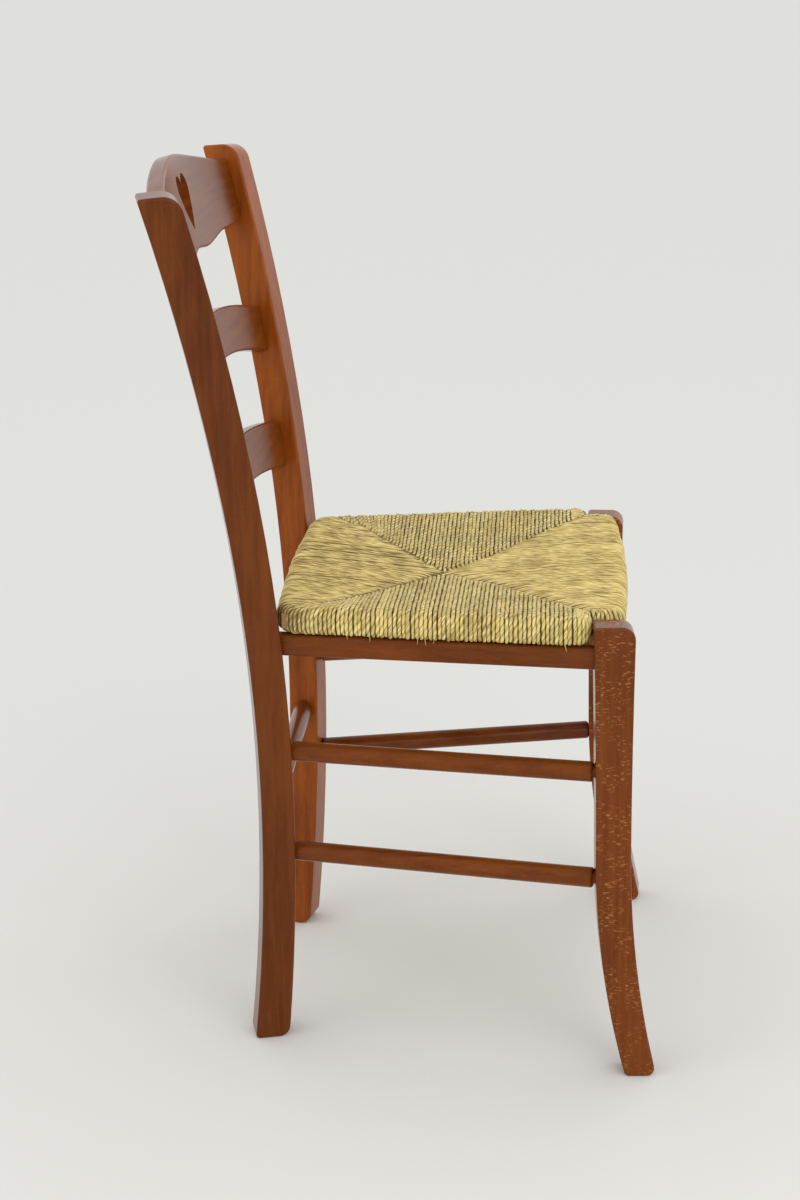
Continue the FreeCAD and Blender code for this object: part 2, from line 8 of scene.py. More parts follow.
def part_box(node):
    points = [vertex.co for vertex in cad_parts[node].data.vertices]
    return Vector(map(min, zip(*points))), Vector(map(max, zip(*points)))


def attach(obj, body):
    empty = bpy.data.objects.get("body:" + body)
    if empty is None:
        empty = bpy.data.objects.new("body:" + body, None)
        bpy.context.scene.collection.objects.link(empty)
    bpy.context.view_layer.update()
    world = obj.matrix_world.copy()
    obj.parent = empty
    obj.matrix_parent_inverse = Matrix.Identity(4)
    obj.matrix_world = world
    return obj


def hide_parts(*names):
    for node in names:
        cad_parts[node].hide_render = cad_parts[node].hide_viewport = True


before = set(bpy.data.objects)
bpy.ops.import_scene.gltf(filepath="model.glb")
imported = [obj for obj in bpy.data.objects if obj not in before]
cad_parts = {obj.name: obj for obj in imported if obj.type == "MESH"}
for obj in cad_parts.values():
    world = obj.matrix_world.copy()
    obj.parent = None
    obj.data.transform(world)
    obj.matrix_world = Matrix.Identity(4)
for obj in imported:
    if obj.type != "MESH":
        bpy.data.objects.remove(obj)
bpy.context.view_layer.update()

scene = bpy.context.scene
camera_place = (-2.3293, -0.14966, 1.1273)
turn, dip, cant = 0.0696, -0.2916, -0.0181
forward = Vector((math.cos(dip) * math.cos(turn), math.cos(dip) * math.sin(turn), math.sin(dip)))
level_right = forward.cross(Vector((0, 0, 1))).normalized()
level_up = level_right.cross(forward)
right = level_right * math.cos(cant) + level_up * math.sin(cant)
up = level_up * math.cos(cant) - level_right * math.sin(cant)
lens = bpy.data.cameras.new("long_lens")
lens.sensor_width = 36
lens.lens = 69.945
camera = bpy.data.objects.new("photographer", lens)
axes = Matrix((right, up, -forward)).transposed().to_4x4()
camera.matrix_world = Matrix.Translation(camera_place) @ axes
scene.collection.objects.link(camera)
scene.camera = camera

# The studio: a pale floor that runs on into the distance, under an even white light from all
# round, with two large soft lights that give the wood its soft highlights.
scene.view_settings.view_transform = "Standard"
paper = bpy.data.materials.new("studio_paper")
paper.use_nodes = True
paper_shader = paper.node_tree.nodes["Principled BSDF"]
paper_shader.inputs["Base Color"].default_value = (0.80, 0.80, 0.775, 1)
paper_shader.inputs["Roughness"].default_value = 0.9
paper_shader.inputs["Specular IOR Level"].default_value = 0.1
floor_half = 60.0
floor_mesh = bpy.data.meshes.new("studio_floor")
floor_mesh.from_pydata([(-floor_half, -floor_half, 0), (floor_half, -floor_half, 0),
                        (floor_half, floor_half, 0), (-floor_half, floor_half, 0)], [], [(0, 1, 2, 3)])
floor_mesh.materials.append(paper)
studio_floor = bpy.data.objects.new("studio_floor", floor_mesh)
scene.collection.objects.link(studio_floor)

air = bpy.data.worlds.new("studio_air")
air.use_nodes = True
air.node_tree.nodes["Background"].inputs["Color"].default_value = (1.0, 1.0, 0.995, 1)
air.node_tree.nodes["Background"].inputs["Strength"].default_value = 0.92
scene.world = air


def softbox(name, place, target, size, power):
    """A square soft light of the given side in metres, turned to face its target."""
    data = bpy.data.lights.new(name, "AREA")
    data.size = size
    data.energy = power
    lamp = bpy.data.objects.new(name, data)
    lamp.location = place
    lamp.rotation_euler = (Vector(target) - Vector(place)).to_track_quat("-Z", "Y").to_euler()
    scene.collection.objects.link(lamp)


chair_middle = (0, 0, 0.5)
softbox_side = 1.6
softbox("key_softbox", (-2.6, -1.4, 1.7), chair_middle, softbox_side, power=18)
softbox("fill_softbox", (-1.6, 2.2, 2.4), chair_middle, softbox_side, power=4)


# Stained beech: the posts, legs, slats, rails and stretchers. Beech has an even grain with fine
# fibres, faint growth rings and short light ray flecks. It is stained reddish brown under a satin
# lacquer. Each piece has its tones scaled by its own strength: partly how it took the stain, partly
# painted light, as the far rear post is made much lighter to stand in for the sheen on its face.
def node(tree, kind, **values):
    """A new node. Names that start with set_ are its properties, in_N its Nth input, and the rest
    its named inputs, which take a plain value or another node's output."""
    made = tree.nodes.new(kind)
    for name, value in values.items():
        if name.startswith("set_"):
            setattr(made, name[4:], value)
            continue
        key = int(name[3:]) if name.startswith("in_") else name.replace("_", " ")
        if isinstance(value, bpy.types.NodeSocket):
            tree.links.new(value, made.inputs[key])
        else:
            made.inputs[key].default_value = value
    return made


def calculate(tree, operation, first, second=0.0, third=0.0):
    """The result of one arithmetic step on numbers or outputs."""
    return node(tree, "ShaderNodeMath", set_operation=operation,
                in_0=first, in_1=second, in_2=third).outputs[0]


def blend_colours(tree, share, first, second):
    """Two colours mixed by a share from 0 to 1."""
    return node(tree, "ShaderNodeMix", set_data_type="RGBA", in_0=share, in_6=first,
                in_7=second).outputs[2]


def stretched_noise(tree, place, stretch, detail, roughness=0.5):
    """Noise on a place that is first scaled by a different amount along each axis."""
    scaled = node(tree, "ShaderNodeVectorMath", set_operation="MULTIPLY", in_0=place, in_1=stretch)
    return node(tree, "ShaderNodeTexNoise", Vector=scaled.outputs[0], Scale=1.0,
                Detail=detail, Roughness=roughness).outputs["Fac"]


def between(tree, value, low, high):
    """0 below the low limit, 1 above the high one, smooth between them."""
    return node(tree, "ShaderNodeMapRange", set_interpolation_type="SMOOTHSTEP", Value=value,
                From_Min=low, From_Max=high).outputs["Result"]


# The figure has its grain along Z: rings are contour lines of a long soft noise, fibres a fine
# noise stretched along the grain, and flecks a noise stretched across it.
figure = bpy.data.node_groups.new("beech_figure", "ShaderNodeTree")
for name, kind in (("Place", "NodeSocketVector"), ("Deep Tone", "NodeSocketColor"),
                   ("Warm Tone", "NodeSocketColor"), ("Fleck Tone", "NodeSocketColor"),
                   ("Rings", "NodeSocketFloat"), ("Flecks", "NodeSocketFloat")):
    figure.interface.new_socket(name, in_out="INPUT", socket_type=kind)
for name, kind in (("Color", "NodeSocketColor"), ("Roughness", "NodeSocketFloat"),
                   ("Height", "NodeSocketFloat")):
    figure.interface.new_socket(name, in_out="OUTPUT", socket_type=kind)
given = figure.nodes.new("NodeGroupInput").outputs
cloud = stretched_noise(figure, given["Place"], (16, 16, 3.0), 3, 0.55)
ring_field = stretched_noise(figure, given["Place"], (9, 9, 0.7), 1.0, 0.4)
ring_wave = calculate(figure, "SINE", calculate(figure, "MULTIPLY", ring_field, 90.0))
ring_lines = calculate(figure, "MULTIPLY", between(figure, ring_wave, -0.6, 1.0), given["Rings"])
fibres = stretched_noise(figure, given["Place"], (700, 700, 20), 3, 0.65)
streaks = stretched_noise(figure, given["Place"], (170, 170, 4), 2, 0.5)
fleck_field = stretched_noise(figure, given["Place"], (200, 200, 640), 1.5, 0.5)
fleck_group = between(figure, stretched_noise(figure, given["Place"], (60, 60, 35), 1, 0.5), 0.36, 0.58)
flecks = calculate(figure, "MULTIPLY", between(figure, fleck_field, 0.555, 0.68), fleck_group)
flecks = calculate(figure, "MULTIPLY", flecks, given["Flecks"])
tone = calculate(figure, "MULTIPLY_ADD", streaks, 0.45, calculate(figure, "MULTIPLY", cloud, 0.75))
tone = calculate(figure, "MULTIPLY_ADD", fibres, 0.35, tone)
tone = calculate(figure, "MULTIPLY_ADD", ring_lines, -0.30, tone)
tone = between(figure, tone, 0.42, 1.08)
stain = blend_colours(figure, tone, given["Deep Tone"], given["Warm Tone"])
stain = blend_colours(figure, flecks, stain, given["Fleck Tone"])
result = figure.nodes.new("NodeGroupOutput")
figure.links.new(stain, result.inputs["Color"])
figure.links.new(calculate(figure, "MULTIPLY_ADD", fibres, 0.20, 0.30), result.inputs["Roughness"])
figure.links.new(calculate(figure, "MULTIPLY_ADD", ring_lines, -0.3, fibres), result.inputs["Height"])

deep_stain = np.array((0.106, 0.021, 0.0010))
warm_stain = np.array((0.226, 0.056, 0.0055))
fleck_stain = np.array((0.38, 0.155, 0.044))


def beech(name, grain, offset, strength, rings, flecks, colours, coat):
    """Beech with its grain along one axis of the chair, cut from its own place in the log, so that
    the figure doesn't run on from piece to piece, with its tones scaled by a strength."""
    made = bpy.data.materials.new(name)
    made.use_nodes = True
    tree = made.node_tree
    place = node(tree, "ShaderNodeTexCoord").outputs["Object"]
    place = node(tree, "ShaderNodeVectorMath", set_operation="ADD", in_0=place, in_1=offset).outputs[0]
    if grain != "Z":
        parts = node(tree, "ShaderNodeSeparateXYZ", in_0=place).outputs
        order = {"X": (1, 2, 0), "Y": (2, 0, 1)}[grain]
        place = node(tree, "ShaderNodeCombineXYZ", in_0=parts[order[0]], in_1=parts[order[1]],
                     in_2=parts[order[2]]).outputs[0]
    deep, warm, fleck = [tuple(colour * strength) + (1,) for colour in colours]
    wood = node(tree, "ShaderNodeGroup", set_node_tree=figure, Place=place, Deep_Tone=deep,
                Warm_Tone=warm, Fleck_Tone=fleck, Rings=rings, Flecks=flecks).outputs
    shader = tree.nodes["Principled BSDF"]
    tree.links.new(wood["Color"], shader.inputs["Base Color"])
    tree.links.new(wood["Roughness"], shader.inputs["Roughness"])
    relief = node(tree, "ShaderNodeBump", Height=wood["Height"], Strength=0.2, Distance=0.0002)
    tree.links.new(relief.outputs[0], shader.inputs["Normal"])
    shader.inputs["Specular IOR Level"].default_value = 0.02
    shader.inputs["Coat Weight"].default_value = coat
    shader.inputs["Coat Roughness"].default_value = 0.22
    shader.inputs["Coat IOR"].default_value = 1.25
    return made


def finish_node(name, material):
    """Gives a solid of the frame its only material."""
    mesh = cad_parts[name].data
    mesh.materials.clear()
    mesh.materials.append(material)


grain_axes = {"Z": ("rear_post_right", "rear_post_left", "front_leg_right", "front_leg_left"),
              "X": ("crest_rail", "upper_slat", "lower_slat", "seat_rail_front",
                    "front_stretcher", "rear_stretcher"),
              "Y": ("seat_rail_left", "seat_rail_right", "side_stretcher_upper_left",
                    "side_stretcher_upper_right", "side_stretcher_lower_left",
                    "side_stretcher_lower_right")}
# Tone strength per piece: partly stain, partly painted light; the far rear post (left) is much lighter as a
# painted sheen
stain_and_sheen_strengths = {"rear_post_right": 0.84, "rear_post_left": 1.65, "front_leg_left": 1.25,
             "seat_rail_right": 0.88}
stained_tones = (deep_stain, warm_stain, fleck_stain)
full_coat = 1.0

# Rings and flecks: the front legs are quarter sawn, so their faces show many flecks and few rings
quartered_rings, quartered_flecks = 0.05, 0.8
plain_rings, plain_flecks = 0.22, 0.04
log_reach = 5
log_place = np.random.default_rng(3)
for axis, names in grain_axes.items():
    for name in names:
        offset = tuple(log_place.uniform(-log_reach, log_reach, 3))
        quartered = name.startswith("front_leg")
        finish_node(name, beech("stained_" + name, axis, offset, stain_and_sheen_strengths.get(name, 1.0),
                                quartered_rings if quartered else plain_rings,
                                quartered_flecks if quartered else plain_flecks,
                                stained_tones, full_coat))

# The seat frame: four bars of planed beech that the rush is woven round. They are left bare,
# because the rush covers them on all sides.
bare_strength, bare_rings, bare_flecks, no_coat = 1.0, 0.6, 0.3, 0.0
bare_tones = (np.array((0.42, 0.25, 0.12)), np.array((0.68, 0.47, 0.27)), np.array((0.78, 0.60, 0.40)))
for name, axis in (("seat_frame_front", "X"), ("seat_frame_rear", "X"),
                   ("seat_frame_left", "Y"), ("seat_frame_right", "Y")):
    offset = tuple(log_place.uniform(-log_reach, log_reach, 3))
    finish_node(name, beech("bare_" + name, axis, offset, bare_strength, bare_rings, bare_flecks,
                            bare_tones, no_coat))

# Four countersunk screws of zinc-plated steel, driven up through the side rails into the bars of
# the seat frame. They hold the woven seat on the chair.
zinc =bpy.data.materials.new("zinc_plated_steel")
zinc.use_nodes = True
zinc_tree = zinc.node_tree
zinc_place = node(zinc_tree, "ShaderNodeTexCoord").outputs["Object"]
zinc_cloud = stretched_noise(zinc_tree, zinc_place, (900, 900, 900), 3)
zinc_shader = zinc_tree.nodes["Principled BSDF"]
zinc_shader.inputs["Metallic"].default_value = 1.0
zinc_tree.links.new(blend_colours(zinc_tree, zinc_cloud, (0.42, 0.42, 0.40, 1), (0.70, 0.70, 0.68, 1)),
                    zinc_shader.inputs["Base Color"])
zinc_tree.links.new(calculate(zinc_tree, "MULTIPLY_ADD", zinc_cloud, 0.3, 0.25),
                    zinc_shader.inputs["Roughness"])
finish_node("seat_screws", zinc)

# The woven rush: one long cord, twisted by hand from straw, is wound over the frame from rail to
# rail. Four fields of cords meet along four mitres and sink towards the middle of the seat.
seat_low, seat_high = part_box("rush_seat")
seat_top = seat_high.z
seat_under = seat_low.z
front_bow = 0.007
rear_bow = 0.005
seat_front = seat_low.y + front_bow
seat_rear = seat_high.y - rear_bow
rear_half = 0.17636
side_flare = 0.13432
side_swell = 0.0025
notch_x = 0.18944
notch_y = -0.18277
rear_corner = 0.022
side_corner = 0.012
front_corner = 0.010
seat_sink = 0.015
sink_rim = 0.014
sink_power = 1.12
middle_y = -0.0379
chance = np.random.default_rng(11)


def corner_loss(past, radius):
    """How far an arc lies inside its square corner, at a distance past the arc's start."""
    past = np.clip(past, 0, radius)
    return radius - np.sqrt(radius ** 2 - past ** 2)


def side_edge(y):
    """Distance of the side edge from the centre line: it flares forwards, swells by a parabola,
    is rounded at its corners by arcs, and steps in beside the front leg."""
    half = (seat_rear - notch_y) / 2
    swell = side_swell * np.clip(1 - ((y - (seat_rear + notch_y) / 2) / half) ** 2, 0, 1)
    wide = rear_half + (seat_rear - y) * side_flare + swell
    wide = wide - corner_loss(y - (seat_rear - rear_corner), rear_corner)
    wide = wide - corner_loss(notch_y + side_corner - y, side_corner)
    narrow = notch_x - corner_loss(seat_front + front_corner - y, front_corner)
    return np.where(y >= notch_y, wide, narrow)


def front_edge(x):
    """Place of the front edge: a parabola bowed forwards, drawn back by an arc at the corner."""
    bow = front_bow * (1 - (x / notch_x) ** 2)
    return seat_front - bow + corner_loss(np.abs(x) - (notch_x - front_corner), front_corner)


def rear_edge(x):
    """Place of the rear edge: a parabola bowed backwards, drawn in by an arc at the corner."""
    bow = rear_bow * (1 - (x / rear_half) ** 2)
    return seat_rear + bow - corner_loss(np.abs(x) - (rear_half - rear_corner), rear_corner)


def seat_height(x, y):
    """Top of the weave: level round the rim, then sinking by a power of the least of the distances
    to the four rims, each over that rim's distance from the middle."""
    rim_x = rear_half + (seat_rear - y) * side_flare - sink_rim
    toward = np.minimum((y - notch_y) / (middle_y - notch_y),
                        (seat_rear - sink_rim - y) / (seat_rear - sink_rim - middle_y))
    toward = np.clip(np.minimum(toward, (rim_x - np.abs(x)) / rim_x), 0, 1)
    return seat_top - seat_sink * toward ** sink_power


# A cord is two twisted plies of straw: an oval that turns once in each lay of the twist.
# The long cords of the front and rear fields are twisted loosely, those of the sides firmly.
# Each kind has its own strength of painted shade in the crease between the plies.
cord_half_width = 0.00226
cord_half_height = 0.00235
loose_lay = 0.055
loose_swell = 0.05
loose_crease_shade = 0.25
firm_lay = 0.018
firm_swell = 0.12
firm_crease_shade = 0.42
ring_sides = 8
top_step = 0.0018
under_step = 0.0035
turn_steps = np.linspace(0, math.pi / 2, 8)[1:]

# The turns over the edge and under it, and how a cord ends out of sight behind its mitre
top_turn = 0.0085
under_turn = 0.0055
turn_share = 0.8
route_start = 0.006
hidden_end = 0.005
dive_reach = 0.012
dive_limit = 1.4
# Reach of the painted shade that darkens a cord before its mitre, where it dives under the next field
dive_shade_reach = 0.005

# What the hand leaves uneven: a cord's place aside, its height and its fullness
aside_spread = 0.00012
aside_wave = 0.00022
aside_wavelength = 0.045
mean_height = -0.0002
height_spread = 0.00035
height_wave = 0.00014
height_wavelength = 0.05
fullness_spread = 0.045
fullness_wave = 0.04
fullness_wavelength = 0.035


def slow_wave(along, reach, wavelength):
    """A sum of three sines with random phases and shorter and shorter waves."""
    total = np.zeros_like(along)
    for order in (1, 2, 3):
        pace = 2 * math.pi * order * chance.uniform(0.7, 1.3) / wavelength
        total += np.sin(pace * along + chance.uniform(0, 2 * math.pi)) / order
    return total * reach


def cord_rings(inner, bend, outer, lay, swell, crease_shade, swerve, dive, draw_in):
    """One cord as rings of points, with the lays of twist along it, its random shade, and how dark
    its painted crease shade is at each ring: up to three times as dark in the last 5 mm before the
    mitre, as painted shade where the cord dives under the next field.
    In plan it is a parabola from the mitre by a bend to the edge. In height it follows the
    sinking top, turns down over the edge by a quarter circle, drops, drawn in by a little, turns
    under, and runs back below. At its ends it dives and swerves under the next field."""
    share = np.linspace(0, 1, 40)[:, None]
    route = (1 - share) ** 2 * inner + 2 * share * (1 - share) * bend + share ** 2 * outer
    start_way = (bend - inner) / np.linalg.norm(bend - inner)
    route = np.concatenate([[inner - route_start * start_way], route])
    steps = np.linalg.norm(np.diff(route[1:], axis=0), axis=1)
    run = np.concatenate([[-route_start], [0], np.cumsum(steps)])
    ways = np.gradient(route, run, axis=0)
    reach = run[-1] - cord_half_height
    round_top = min(top_turn, turn_share * reach)
    round_under = min(under_turn, turn_share * (reach - draw_in))
    high = seat_top - cord_half_height
    low = seat_under + cord_half_height
    top_out = np.append(np.arange(-hidden_end, reach - round_top - 0.5 * top_step, top_step),
                        reach - round_top)
    drop = np.linspace(0, 1, 5)[1:-1]
    under_reach = reach - draw_in - round_under
    under_out = np.append(np.arange(under_reach, -hidden_end, -under_step)[1:], -hidden_end)
    out = np.concatenate([top_out, reach - round_top * (1 - np.sin(turn_steps)), reach - draw_in * drop,
                          under_reach + round_under * np.cos(turn_steps), under_out])
    x, y = np.interp(out, run, route[:, 0]), np.interp(out, run, route[:, 1])
    above = len(top_out) + len(turn_steps)
    lowered = np.concatenate([np.zeros(len(top_out)), round_top * (1 - np.cos(turn_steps))])
    z_above = seat_height(x[:above], y[:above]) - cord_half_height - lowered
    z_side = high - round_top + (low + round_under - high + round_top) * drop
    z_below = np.concatenate([low + round_under * (1 - np.sin(turn_steps)), np.full(len(under_out), low)])
    z = np.concatenate([z_above, z_side, z_below])
    inside = np.clip(1 - out / dive_reach, 0, dive_limit) ** 2
    z += np.where(np.arange(len(z)) < above, -dive, dive) * inside
    way_x, way_y = np.interp(out, run, ways[:, 0]), np.interp(out, run, ways[:, 1])
    way_length = np.hypot(way_x, way_y)
    aside = np.stack([-way_y / way_length, way_x / way_length, 0 * z], 1)
    slide = (chance.normal(0, aside_spread) + slow_wave(out, aside_wave, aside_wavelength)
             + swerve * inside)
    line = np.stack([x, y, z], 1) + aside * slide[:, None]
    tangent = np.gradient(line, axis=0)
    tangent /= np.linalg.norm(tangent, axis=1, keepdims=True)
    across = aside - tangent * np.sum(aside * tangent, 1, keepdims=True)
    across /= np.linalg.norm(across, axis=1, keepdims=True)
    outward = np.cross(tangent, across)
    along = np.concatenate([[0], np.cumsum(np.linalg.norm(np.diff(line, axis=0), axis=1))])
    lift = chance.normal(mean_height, height_spread) + slow_wave(along, height_wave, height_wavelength)
    line = line + outward * lift[:, None]
    shade = chance.uniform(0, 1)
    lays = along / lay
    angle = np.linspace(0, 2 * math.pi, ring_sides, endpoint=False)[None, :]
    plies = 1 + swell * np.cos(2 * (angle - 2 * math.pi * (lays[:, None] + shade)))
    fullness = (1 + chance.normal(0, fullness_spread)
                + slow_wave(along, fullness_wave, fullness_wavelength))
    plies = (plies * fullness[:, None])[:, :, None]
    rings = (line[:, None, :] + across[:, None, :] * cord_half_width * plies * np.cos(angle)[:, :, None]
             + outward[:, None, :] * cord_half_height * plies * np.sin(angle)[:, :, None])
    crease_shades = crease_shade * (1 + 2 * np.clip(1 - out / dive_shade_reach, 0, 1))
    return rings, lays, shade, crease_shades


def join_cords(name, cords):
    """All cords of a field in one mesh: quads between neighbouring rings and a fan on each end,
    with a map of lays of twist along a cord by turns round it, and the cord's shade and the
    strength of its painted crease shade on each point."""
    points, quads, fans, chart, shades, darks = [], [], [], [], [], []
    first = 0
    turns = np.arange(ring_sides) / ring_sides
    for rings, lays, shade, crease_shades in cords:
        steps = len(rings)
        index = first + np.arange(steps * ring_sides).reshape(steps, ring_sides)
        after = np.roll(index, -1, 1)
        quads.append(np.stack([index[:-1], after[:-1], after[1:], index[1:]], 2).reshape(-1, 4))
        u = np.repeat(lays[:, None], ring_sides, 1)
        v = np.repeat(turns[None, :], steps, 0)
        w = v + 1 / ring_sides
        corners = [np.stack(pair, 2) for pair in ((u[:-1], v[:-1]), (u[:-1], w[:-1]),
                                                  (u[1:], w[1:]), (u[1:], v[1:]))]
        chart.append(np.stack(corners, 2).reshape(-1, 2))
        ends = first + steps * ring_sides + np.arange(2)
        fans.append(np.stack([np.full(ring_sides, ends[0]), after[0], index[0]], 1))
        fans.append(np.stack([np.full(ring_sides, ends[1]), index[-1], after[-1]], 1))
        points += [rings.reshape(-1, 3), rings[0].mean(0)[None], rings[-1].mean(0)[None]]
        shades.append(np.full(steps * ring_sides + 2, shade))
        darks.append(np.append(np.repeat(crease_shades, ring_sides), (crease_shades[0], crease_shades[-1])))
        first += steps * ring_sides + 2
    mesh = bpy.data.meshes.new(name)
    mesh.from_pydata(np.concatenate(points).tolist(), [],
                     np.concatenate(quads).tolist() + np.concatenate(fans).tolist())
    chart = np.concatenate(chart)
    flat = np.zeros((len(mesh.loops), 2))
    flat[:len(chart)] = chart
    mesh.uv_layers.new(name="cord_map").data.foreach_set("uv", flat.reshape(-1))
    mesh.attributes.new("cord_shade", "FLOAT", "POINT").data.foreach_set("value", np.concatenate(shades))
    mesh.attributes.new("cord_crease_shade", "FLOAT", "POINT").data.foreach_set("value", np.concatenate(darks))
    mesh.shade_smooth()
    return mesh


# Straw: dry stems, glossy outside, golden with pale, greenish and brown ones among them.
# The crease between the two plies winds round the cord with the twist, and is darkened in the colour as
# painted shade.
straw = bpy.data.materials.new("twisted_straw")
straw.use_nodes = True
tree = straw.node_tree
chart = node(tree, "ShaderNodeUVMap", set_uv_map="cord_map").outputs[0]
chart = node(tree, "ShaderNodeSeparateXYZ", in_0=chart).outputs
shade = node(tree, "ShaderNodeAttribute", set_attribute_name="cord_shade").outputs["Fac"]
twist = calculate(tree, "SUBTRACT", calculate(tree, "SUBTRACT", chart[1], chart[0]), shade)
ply_side = calculate(tree, "COSINE", calculate(tree, "MULTIPLY", twist, 4 * math.pi))
stem_place = node(tree, "ShaderNodeCombineXYZ", in_0=calculate(tree, "MULTIPLY", chart[0], 1.6),
                  in_1=calculate(tree, "MULTIPLY", twist, 12.0),
                  in_2=calculate(tree, "MULTIPLY", shade, 90.0)).outputs[0]
stems = stretched_noise(tree, stem_place, (1, 1, 1), 2.5, 0.6)
place = node(tree, "ShaderNodeTexCoord").outputs["Object"]
patches = stretched_noise(tree, place, (34, 34, 34), 2)
lightness = calculate(tree, "MULTIPLY_ADD", shade, 0.08, calculate(tree, "MULTIPLY", stems, 1.0))
lightness = calculate(tree, "MULTIPLY_ADD", patches, 0.35, lightness)
golden = blend_colours(tree, between(tree, lightness, 0.46, 0.88), (0.36, 0.245, 0.058, 1),
                       (0.95, 0.755, 0.280, 1))
golden = blend_colours(tree, between(tree, stems, 0.58, 0.74), golden, (0.98, 0.89, 0.47, 1))
green = calculate(tree, "MULTIPLY", between(tree, shade, 0.95, 0.97), 0.25)
golden = blend_colours(tree, green, golden, (0.66, 0.64, 0.16, 1))
# Painted shade: the crease between the plies is darkened by a strength that each point carries
crease_shade_depth = node(tree, "ShaderNodeAttribute", set_attribute_name="cord_crease_shade").outputs["Fac"]
crease_shade = calculate(tree, "MULTIPLY", between(tree, ply_side, -0.35, -1.0), crease_shade_depth)
# Painted shade: in the last few mm before the mitre the whole cord darkens, not only its crease
crease_shade = calculate(tree, "MAXIMUM", crease_shade, calculate(tree, "MULTIPLY_ADD", crease_shade_depth, 1.6, -1.0))
crease_shade = calculate(tree, "MINIMUM", crease_shade, 0.85)
golden = blend_colours(tree, crease_shade, golden, (0.14, 0.085, 0.020, 1))
# Painted shade: the lower flanks of every cord, in the gaps between cords, are darkened, more so where the
# crease shade is strong and near the mitres
outward_side = calculate(tree, "SINE", calculate(tree, "MULTIPLY", chart[1], 2 * math.pi))
gap_shade_share = calculate(tree, "MINIMUM", calculate(tree, "MULTIPLY_ADD", crease_shade_depth, 1.1, 0.34), 0.9)
painted_gap_shade = calculate(tree, "MULTIPLY", between(tree, outward_side, 0.88, 0.38), gap_shade_share)
golden = blend_colours(tree, painted_gap_shade, golden, (0.060, 0.036, 0.010, 1))
straw_shader = tree.nodes["Principled BSDF"]
tree.links.new(golden, straw_shader.inputs["Base Color"])
tree.links.new(calculate(tree, "MULTIPLY_ADD", stems, -0.25, 0.66), straw_shader.inputs["Roughness"])
straw_shader.inputs["Specular IOR Level"].default_value = 0.35
relief = node(tree, "ShaderNodeBump", Height=stems, Strength=0.6, Distance=0.0010)
tree.links.new(relief.outputs[0], straw_shader.inputs["Normal"])


def rush_field(name, cords):
    """Puts a field of cords on the seat, in place of its plain solid."""
    field = bpy.data.objects.new(name, join_cords(name, cords))
    scene.collection.objects.link(field)
    field.data.materials.append(straw)
    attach(field, "root")
    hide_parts("rush_seat")


# Mitres of the left half, from the middle of the seat to its corners
mitre_start = -0.0335
front_mitre = np.array([(0, mitre_start), (0.0305, -0.0650), (0.0611, -0.0932), (0.1201, -0.1345),
                        (0.1660, -0.1695), (0.1735, -0.1800), (0.1765, -0.1910), (0.1795, -0.2150)])
rear_mitre = np.array([(0, mitre_start), (0.1385, 0.0607), (0.1640, 0.0892), (0.1720, 0.1157)])

# Front field: cords that run forwards from the two front mitres and over the front edge. They
# spread a little on the way, so that the outermost ones lean towards the corners.
front_reach = 0.1775
front_spread_inner = 0.985
front_spread_outer = 1.012
long_swerve = 0.0022
long_dive = 0.0012
front_x = np.linspace(-front_reach, front_reach, 84)
front_out_x = front_x * front_spread_outer
inner = np.stack([front_x * front_spread_inner, np.interp(np.abs(front_x), *front_mitre.T)], 1)
outer = np.stack([front_out_x, front_edge(front_out_x)], 1)
bend = (inner + outer) / 2
rush_field("rush_front_field", [cord_rings(a, b, c, loose_lay, loose_swell, loose_crease_shade,
                                           long_swerve * np.sign(a[0]), long_dive, 0)
                                for a, b, c in zip(inner, bend, outer)])

# Rear field: cords that run backwards from the two rear mitres and over the rear edge. The outer
# ones start nearer to the middle than they end. The painted crease shade of this field is stronger,
# which darkens the whole field.
rear_reach = 0.1705
rear_crowding = 0.010
crowding_start = 0.06
crowding_run = 0.11
crowding_power = 1.5
rear_crease_shade = 1.8 * loose_crease_shade
rear_x = np.linspace(-rear_reach, rear_reach, 80)
crowded = np.clip((np.abs(rear_x) - crowding_start) / crowding_run, 0, 1) ** crowding_power
inner_x = rear_x - rear_crowding * np.sign(rear_x) * crowded
inner = np.stack([inner_x, np.interp(np.abs(inner_x), *rear_mitre.T)], 1)
outer = np.stack([rear_x, rear_edge(rear_x)], 1)
bend = (inner + outer) / 2
rush_field("rush_rear_field", [cord_rings(a, b, c, loose_lay, loose_swell, rear_crease_shade,
                                          -long_swerve * np.sign(a[0]), long_dive, 0)
                               for a, b, c in zip(inner, bend, outer)])

# Side fields: cords that run outwards between the mitres, then a few that fan round the corner
# by the front leg and turn down behind it, and a strip that turns down beside its inner face
side_front = -0.1680
side_rear = 0.1172
rear_lean = 0.024
side_swerve = 0.0035
side_dive = 0.0042
corner_dive = 0.0030
fan_draw_in = 0.001
# The far (left) field gets a stronger painted crease shade, which darkens the whole field
left_crease_shade = 1.4 * firm_crease_shade
side_y = np.linspace(side_front, side_rear, 67)
inner_y = side_y - rear_lean * np.clip(side_y / side_rear, 0, 1) ** crowding_power
mitre_y = np.concatenate([front_mitre[::-1, 1], rear_mitre[1:, 1]])
mitre_x = np.concatenate([front_mitre[::-1, 0], rear_mitre[1:, 0]])
inner = np.stack([np.interp(inner_y, mitre_y, mitre_x), inner_y], 1)
outer = np.stack([side_edge(side_y), side_y], 1)
bend = (inner + outer) / 2
fan_outer = np.array([(0.2160, -0.1722), (0.2138, -0.1764), (0.2104, -0.1800), (0.2062, -0.1824),
                      (0.2015, -0.1834), (0.1968, -0.1836), (0.1924, -0.1836)])
fan_inner = np.stack([np.linspace(0.1670, 0.1735, 7), np.linspace(-0.1692, -0.1762, 7)], 1)
fan_bend = np.stack([np.linspace(0.1915, 0.1830, 7), np.linspace(-0.1702, -0.1792, 7)], 1)
